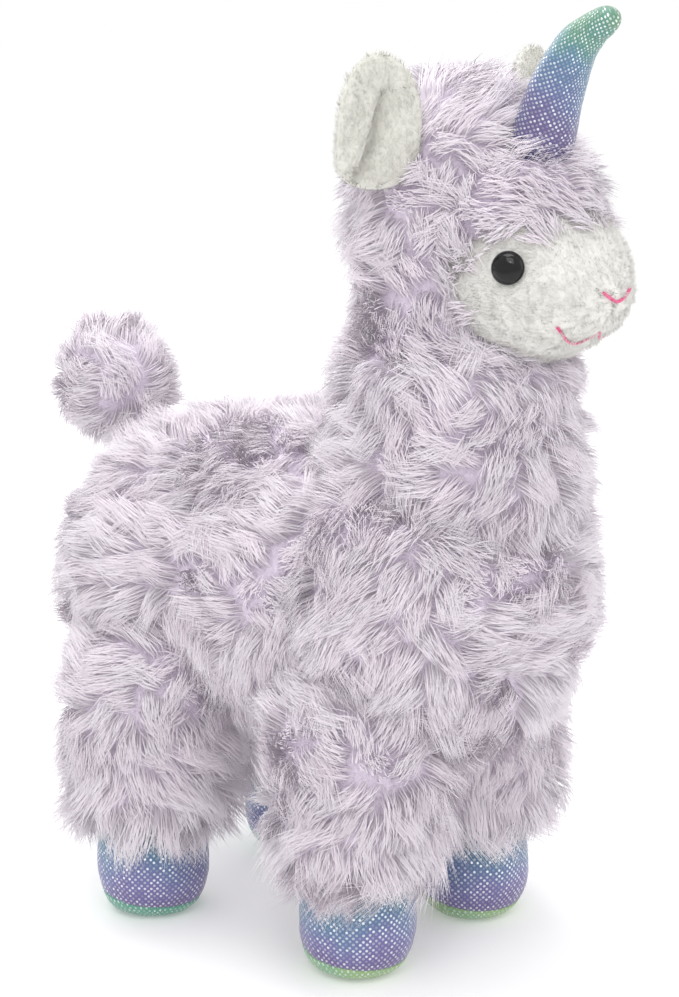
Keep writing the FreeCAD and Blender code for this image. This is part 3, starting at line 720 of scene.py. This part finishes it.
# %% Face cushion
FACE_CENTRE = Vector((0, -0.0856, 0.227))
bm = bmesh.new()
bmesh.ops.create_uvsphere(bm, u_segments=96, v_segments=64, radius=1)
bmesh.ops.scale(bm, vec=Vector((0.0285, 0.0285, 0.026)), verts=bm.verts)
bmesh.ops.translate(bm, vec=FACE_CENTRE, verts=bm.verts)
for vert in bm.verts:
    x, y, z = vert.co
    out = (vert.co - FACE_CENTRE).normalized()
    forward = max(0.0, -out.y)
    push = 0.0032 * forward ** 2 * bump(z - 0.2195, 0.013)                 # the muzzle
    push += 0.0008 * forward * bump(abs(x) - 0.009, 0.006) * bump(z - 0.2135, 0.008)   # plump lips
    push -= 0.0016 * forward * bump(x, 0.0011) * bump(z - 0.216, 0.0055)   # the crease under the nose
    push -= 0.0008 * forward * bump(z - 0.2105, 0.0012) * bump(abs(x) - 0.008, 0.008)  # the mouth pulls in
    push -= sum(0.0012 * bump((vert.co - eye).length, 0.0065) for eye in EYES)
    vert.co += out * push
face = object_from(bm, "face_cushion", white_plush)
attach(face, "head")
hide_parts("face_left", "face_right")

# %% Short pile on the face
face_open = np.array([1.0 if p.center.y < -0.068 and all((p.center - eye).length > 0.0052 for eye in EYES) else 0.0
                      for p in face.data.polygons])


def from_the_nose(points):
    away = points - np.array([0, -0.117, 0.2215])[None]
    return unit(away)


grow("pile_face", "head", face, face_open, from_the_nose, material=short_pile, seed=31, density=2.6e6, gap=0.0022,
     length=0.0026, lean=62, radius=0.00012, draw=0.15, swirl=0.25, wander=18, relief=0.08)

# %% [markdown]
# ## Nose and mouth
# Both are lines of satin stitch. Each is drawn as a few points in front of the face,
# dropped straight onto it, and given a round bevel the width of the thread.

# %% Embroidered lines
face_skin = tree_of(face)


def stitched(name, points, node):
    line = bpy.data.curves.new(name, "CURVE")
    line.dimensions = "3D"
    line.bevel_depth = 0.0005
    line.bevel_resolution = 3
    line.use_fill_caps = True
    spline = line.splines.new("NURBS")
    spline.points.add(len(points) - 1)
    for knot, (x, z) in zip(spline.points, points):
        spot = face_skin.ray_cast(Vector((x, -0.2, z)) * 1.0, Vector((0, 1, 0)))[0]
        knot.co = (spot.x, spot.y - 0.0004, spot.z, 1)
    spline.order_u = 3
    spline.use_endpoint_u = True
    thing = bpy.data.objects.new(name, line)
    scene.collection.objects.link(thing)
    mesh = evaluated_copy(thing, name)
    bpy.data.objects.remove(thing)
    sewn = mesh_object(name, mesh)
    mesh.materials.clear()
    mesh.materials.append(thread)
    mesh.shade_smooth()
    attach(sewn, "head")
    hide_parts(node)


NOSE_Z = 0.2212
stitched("nose_thread", [(x * MM, NOSE_Z + rise * MM) for x, rise in
                         ((-7.2, 3.4), (-5, 2.0), (-2.2, 0.5), (0, -0.2), (2.2, 0.5), (5, 2.0), (7.2, 3.4))], "nose_stitching")
MOUTH_Z = 0.2138
stitched("mouth_thread", [(x * MM, MOUTH_Z + rise * MM) for x, rise in
                          ((-17, 0.9), (-14.2, -1.6), (-10.8, -3.9), (-7.2, -5.4), (-3.4, -4.6), (0, -1.6),
                           (3.4, -4.6), (7.2, -5.4), (10.8, -3.9), (14.2, -1.6), (17, 0.9))], "mouth_stitching")

# %% [markdown]
# ## Ears
# An ear is two pieces of short plush sewn round the edge and folded at its root. The
# form starts as a sphere squashed flat. Its front is pressed in, its edges curl forward,
# and a pleat runs up from the root.

# %% Ear form
EAR_TURN = {"left": 5, "right": -22}                            # degrees outward; hand-sewn ears never match


def ear_form(side):
    sign = 1 if side == "left" else -1
    low_f, high_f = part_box("ear_front_" + side)
    low_b, high_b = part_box("ear_back_" + side)
    low = [min(a, b) for a, b in zip(low_f, low_b)]
    high = [max(a, b) for a, b in zip(high_f, high_b)]
    bm = bmesh.new()
    bmesh.ops.create_uvsphere(bm, u_segments=72, v_segments=48, radius=1)
    for vert in bm.verts:
        x, y, z = vert.co
        front = max(0.0, -y)
        width = 14.0 * (1 + 0.55 * max(0.0, -z) ** 2)
        low_down = min(1.0, max(0.0, (0.55 - z) / 0.5))
        fold = x * sign - 0.06 + 0.22 * z                    # how far to one side of the pleat this is
        hollow = 2.4 * front * (1 - x * x) * (1 - 0.5 * z * z)
        pleat = 4.2 * front * low_down * (bump(fold, 0.1) + 0.5 * bump(fold + 0.16, 0.16))
        plump = 2.0 * front * low_down * bump(fold - 0.3, 0.22)
        curl = 2.6 * x * x * (1 - 0.3 * z)
        vert.co = Vector((x * width, y * 4.6 + hollow + pleat - plump - curl, z * 19.6)) * MM
    bmesh.ops.rotate(bm, verts=bm.verts, cent=(0, 0, 0), matrix=Matrix.Rotation(math.radians(sign * -6), 3, "Y"))
    bmesh.ops.rotate(bm, verts=bm.verts, cent=(0, 0, 0), matrix=Matrix.Rotation(math.radians(EAR_TURN[side]), 3, "Z"))
    bmesh.ops.translate(bm, verts=bm.verts, vec=[(a + b) / 2 for a, b in zip(low, high)])
    ear = object_from(bm, "ear_" + side + "_plush", white_plush)
    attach(ear, "ear_" + side)
    ear.data.materials[0] = ear_plush
    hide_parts("ear_front_" + side, "ear_back_" + side)
    return ear


for number, side in enumerate(("left", "right")):
    ear = ear_form(side)
    wanted = np.ones(len(ear.data.polygons))
    grow("pile_ear_" + side, "ear_" + side, ear, wanted, (0, 0, 1.0), material=ear_pile, seed=41 + number, density=2.4e6,
         gap=0.0025, length=0.0022, lean=60, radius=0.00012, draw=0.15, swirl=0.3, wander=25, relief=0.08)

# %% [markdown]
# ## Horn
# The horn is a stuffed cone of dotted cloth. It is laid through listed stations, each a place
# on its line and a radius, with small puckers along its seam, and its tip droops forward a
# little, as soft horns do.

# %% Horn skin
def cloth_map(bm, angle_of, along_of, radius):
    """A map in metres: round the piece, and along it, so that the dots keep their size."""
    layer = bm.loops.layers.uv.new(CLOTH_MAP)
    for face in bm.faces:
        angles = [angle_of(loop.vert.co) for loop in face.loops]
        for loop, angle in zip(face.loops, angles):
            if angle - angles[0] > math.pi:
                angle -= 2 * math.pi
            elif angles[0] - angle > math.pi:
                angle += 2 * math.pi
            loop[layer].uv = (angle * radius, along_of(loop.vert.co))


HORN_STATIONS = ((-85.2, 258, 9.4), (-86.8, 263, 9.8), (-89.2, 270, 9.5), (-92.2, 279, 8.5), (-95.6, 287.3, 7.4),
                 (-99.8, 294.6, 6.2), (-104.6, 299.4, 5.1), (-109, 302, 4.1), (-111.4, 303.1, 3.4), (-112.9, 303.8, 2.3), (-113.6, 304.1, 1.0))
way = np.linspace(0, len(HORN_STATIONS) - 1, 46)
rings = np.stack([np.interp(way, range(len(HORN_STATIONS)), values) for values in zip(*HORN_STATIONS)], 1)
HORN_ROOT = Vector((0, *rings[0][:2])) * MM


def ring_matrix(i):
    """Where ring i stands: square to the horn's line, scaled to its radius."""
    before, after = rings[max(i - 1, 0)], rings[min(i + 1, len(rings) - 1)]
    line = Vector((0, after[0] - before[0], after[1] - before[1]))
    place = Vector((0, rings[i][0], rings[i][1])) * MM
    return Matrix.Translation(place) @ line.to_track_quat("Z", "X").to_matrix().to_4x4() @ Matrix.Scale(rings[i][2] * MM, 4)


bm = bmesh.new()
bmesh.ops.create_circle(bm, segments=56, radius=1, matrix=ring_matrix(0))
ring = bm.edges[:]
for i in range(1, len(rings)):
    grown = bmesh.ops.extrude_edge_only(bm, edges=ring)["geom"]
    ring = [e for e in grown if isinstance(e, bmesh.types.BMEdge)]
    bmesh.ops.transform(bm, matrix=ring_matrix(i) @ ring_matrix(i - 1).inverted(), verts=[v for v in grown if isinstance(v, bmesh.types.BMVert)])
bmesh.ops.edgeloop_fill(bm, edges=[e for e in bm.edges if e.is_boundary])
for _ in range(3):
    bmesh.ops.smooth_vert(bm, verts=bm.verts, factor=0.5, use_axis_x=True, use_axis_y=True, use_axis_z=True)
bmesh.ops.recalc_face_normals(bm, faces=bm.faces)
bm.normal_update()
for vert in bm.verts:
    seam = max(0.0, vert.normal.dot(Vector((-0.35, -0.8, -0.5)).normalized())) ** 6
    pucker = 0.35 * MM * math.sin(vert.co.z * 1900) * seam
    slack = 0.45 * MM * noise.noise(vert.co * 120) + 0.12 * MM * noise.noise(vert.co * 420)
    vert.co += vert.normal * (pucker + slack + 0.3 * MM)
horn_way = (Vector((0, -0.1045, 0.2995)) - HORN_ROOT).normalized()
cloth_map(bm, lambda p: math.atan2((p - HORN_ROOT).dot(Vector((1, 0, 0))), (p - HORN_ROOT).dot(horn_way.cross(Vector((1, 0, 0))))),
          lambda p: (p - HORN_ROOT).dot(horn_way), 0.0075)
horn_cloth = dotted_cloth("dotted_cloth_horn", (0, -0.35, 0.936), 0.284, 0.322,
                          [(0.0, "5f5380"), (0.3, "5a6690"), (0.6, "517691"), (0.8, "52857a"), (1.0, "5f896a")], 850.0)
horn = object_from(bm, "horn_skin", horn_cloth)
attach(horn, "horn")
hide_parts("horn_cover", "horn_stuffing")

# %% [markdown]
# ## Hooves
# A hoof is a round boot of dotted cloth closed by a bowl-shaped sole. Both come from one
# turned form: a plane cuts it along the seam, which sits higher at the heel, and the cut
# edges are pulled in to make the dark line of the seam.

# %% Hoof and sole
HOOF_PROFILE = ((0.01, 0), (9.5, 0), (13.2, 0.9), (16.2, 3.6), (18.2, 8), (19.3, 13.5), (19.3, 19), (18.6, 26), (17.6, 33), (17, 41), (0.01, 42))


def turned_hoof(centre):
    bm = bmesh.new()
    verts = [bm.verts.new((r * MM, 0, z * MM)) for r, z in HOOF_PROFILE]
    edges = [bm.edges.new(pair) for pair in zip(verts, verts[1:])]
    bmesh.ops.subdivide_edges(bm, edges=edges, cuts=3)
    bmesh.ops.spin(bm, geom=bm.verts[:] + bm.edges[:], cent=(0, 0, 0), axis=(0, 0, 1), angle=2 * math.pi, steps=72, use_merge=True)
    bmesh.ops.remove_doubles(bm, verts=bm.verts, dist=0.05 * MM)
    for _ in range(6):
        bmesh.ops.smooth_vert(bm, verts=[v for v in bm.verts if v.co.z > 0.2 * MM], factor=0.5, use_axis_x=True, use_axis_y=True, use_axis_z=True)
    bmesh.ops.recalc_face_normals(bm, faces=bm.faces)
    bm.normal_update()
    for vert in bm.verts:
        if vert.co.z > 1.5 * MM:
            vert.co += vert.normal * (0.5 * MM * noise.noise((vert.co + centre) * 90) + 0.15 * MM * noise.noise((vert.co + centre) * 260))
    return bm


def hoof_half(leg, keep_top, name, material):
    low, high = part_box("hoof_sole_" + leg)
    centre = Vector(((low[0] + high[0]) / 2, (low[1] + high[1]) / 2, 0))
    bm = turned_hoof(centre)
    seam = Vector((0, 0, 7.2 * MM))
    tilt = Vector((0, -0.13, 1)).normalized()
    cut = bmesh.ops.bisect_plane(bm, geom=bm.verts[:] + bm.edges[:] + bm.faces[:], plane_co=seam, plane_no=tilt,
                                 clear_inner=keep_top, clear_outer=not keep_top)
    rim = [e for e in cut["geom_cut"] if isinstance(e, bmesh.types.BMEdge)]
    tucked = bmesh.ops.extrude_edge_only(bm, edges=rim)["geom"]
    tucked = [v for v in tucked if isinstance(v, bmesh.types.BMVert)]
    for vert in {v for e in rim for v in e.verts}:
        vert.co -= Vector((vert.co.x, vert.co.y, 0)).normalized() * 0.25 * MM
    for vert in tucked:
        vert.co -= Vector((vert.co.x, vert.co.y, 0)).normalized() * 1.6 * MM
        vert.co.z += (-0.1 if keep_top else 0.1) * MM
    bmesh.ops.edgeloop_fill(bm, edges=[e for e in bm.edges if e.is_boundary])
    bmesh.ops.translate(bm, vec=centre, verts=bm.verts)
    bmesh.ops.recalc_face_normals(bm, faces=bm.faces)
    cloth_map(bm, lambda p: math.atan2(p.y - centre.y, p.x - centre.x), lambda p: p.z if keep_top else (p - centre).length, 0.0185)
    thing = object_from(bm, name, material)
    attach(thing, "leg_" + leg)
    return thing


for leg in LEGS:
    boot = hoof_half(leg, True, "hoof_boot_" + leg, hoof_cloth)
    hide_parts("hoof_cover_" + leg, "hoof_stuffing_" + leg)
    base = hoof_half(leg, False, "hoof_base_" + leg, sole_cloth)
    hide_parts("hoof_sole_" + leg)
print("hooves made")
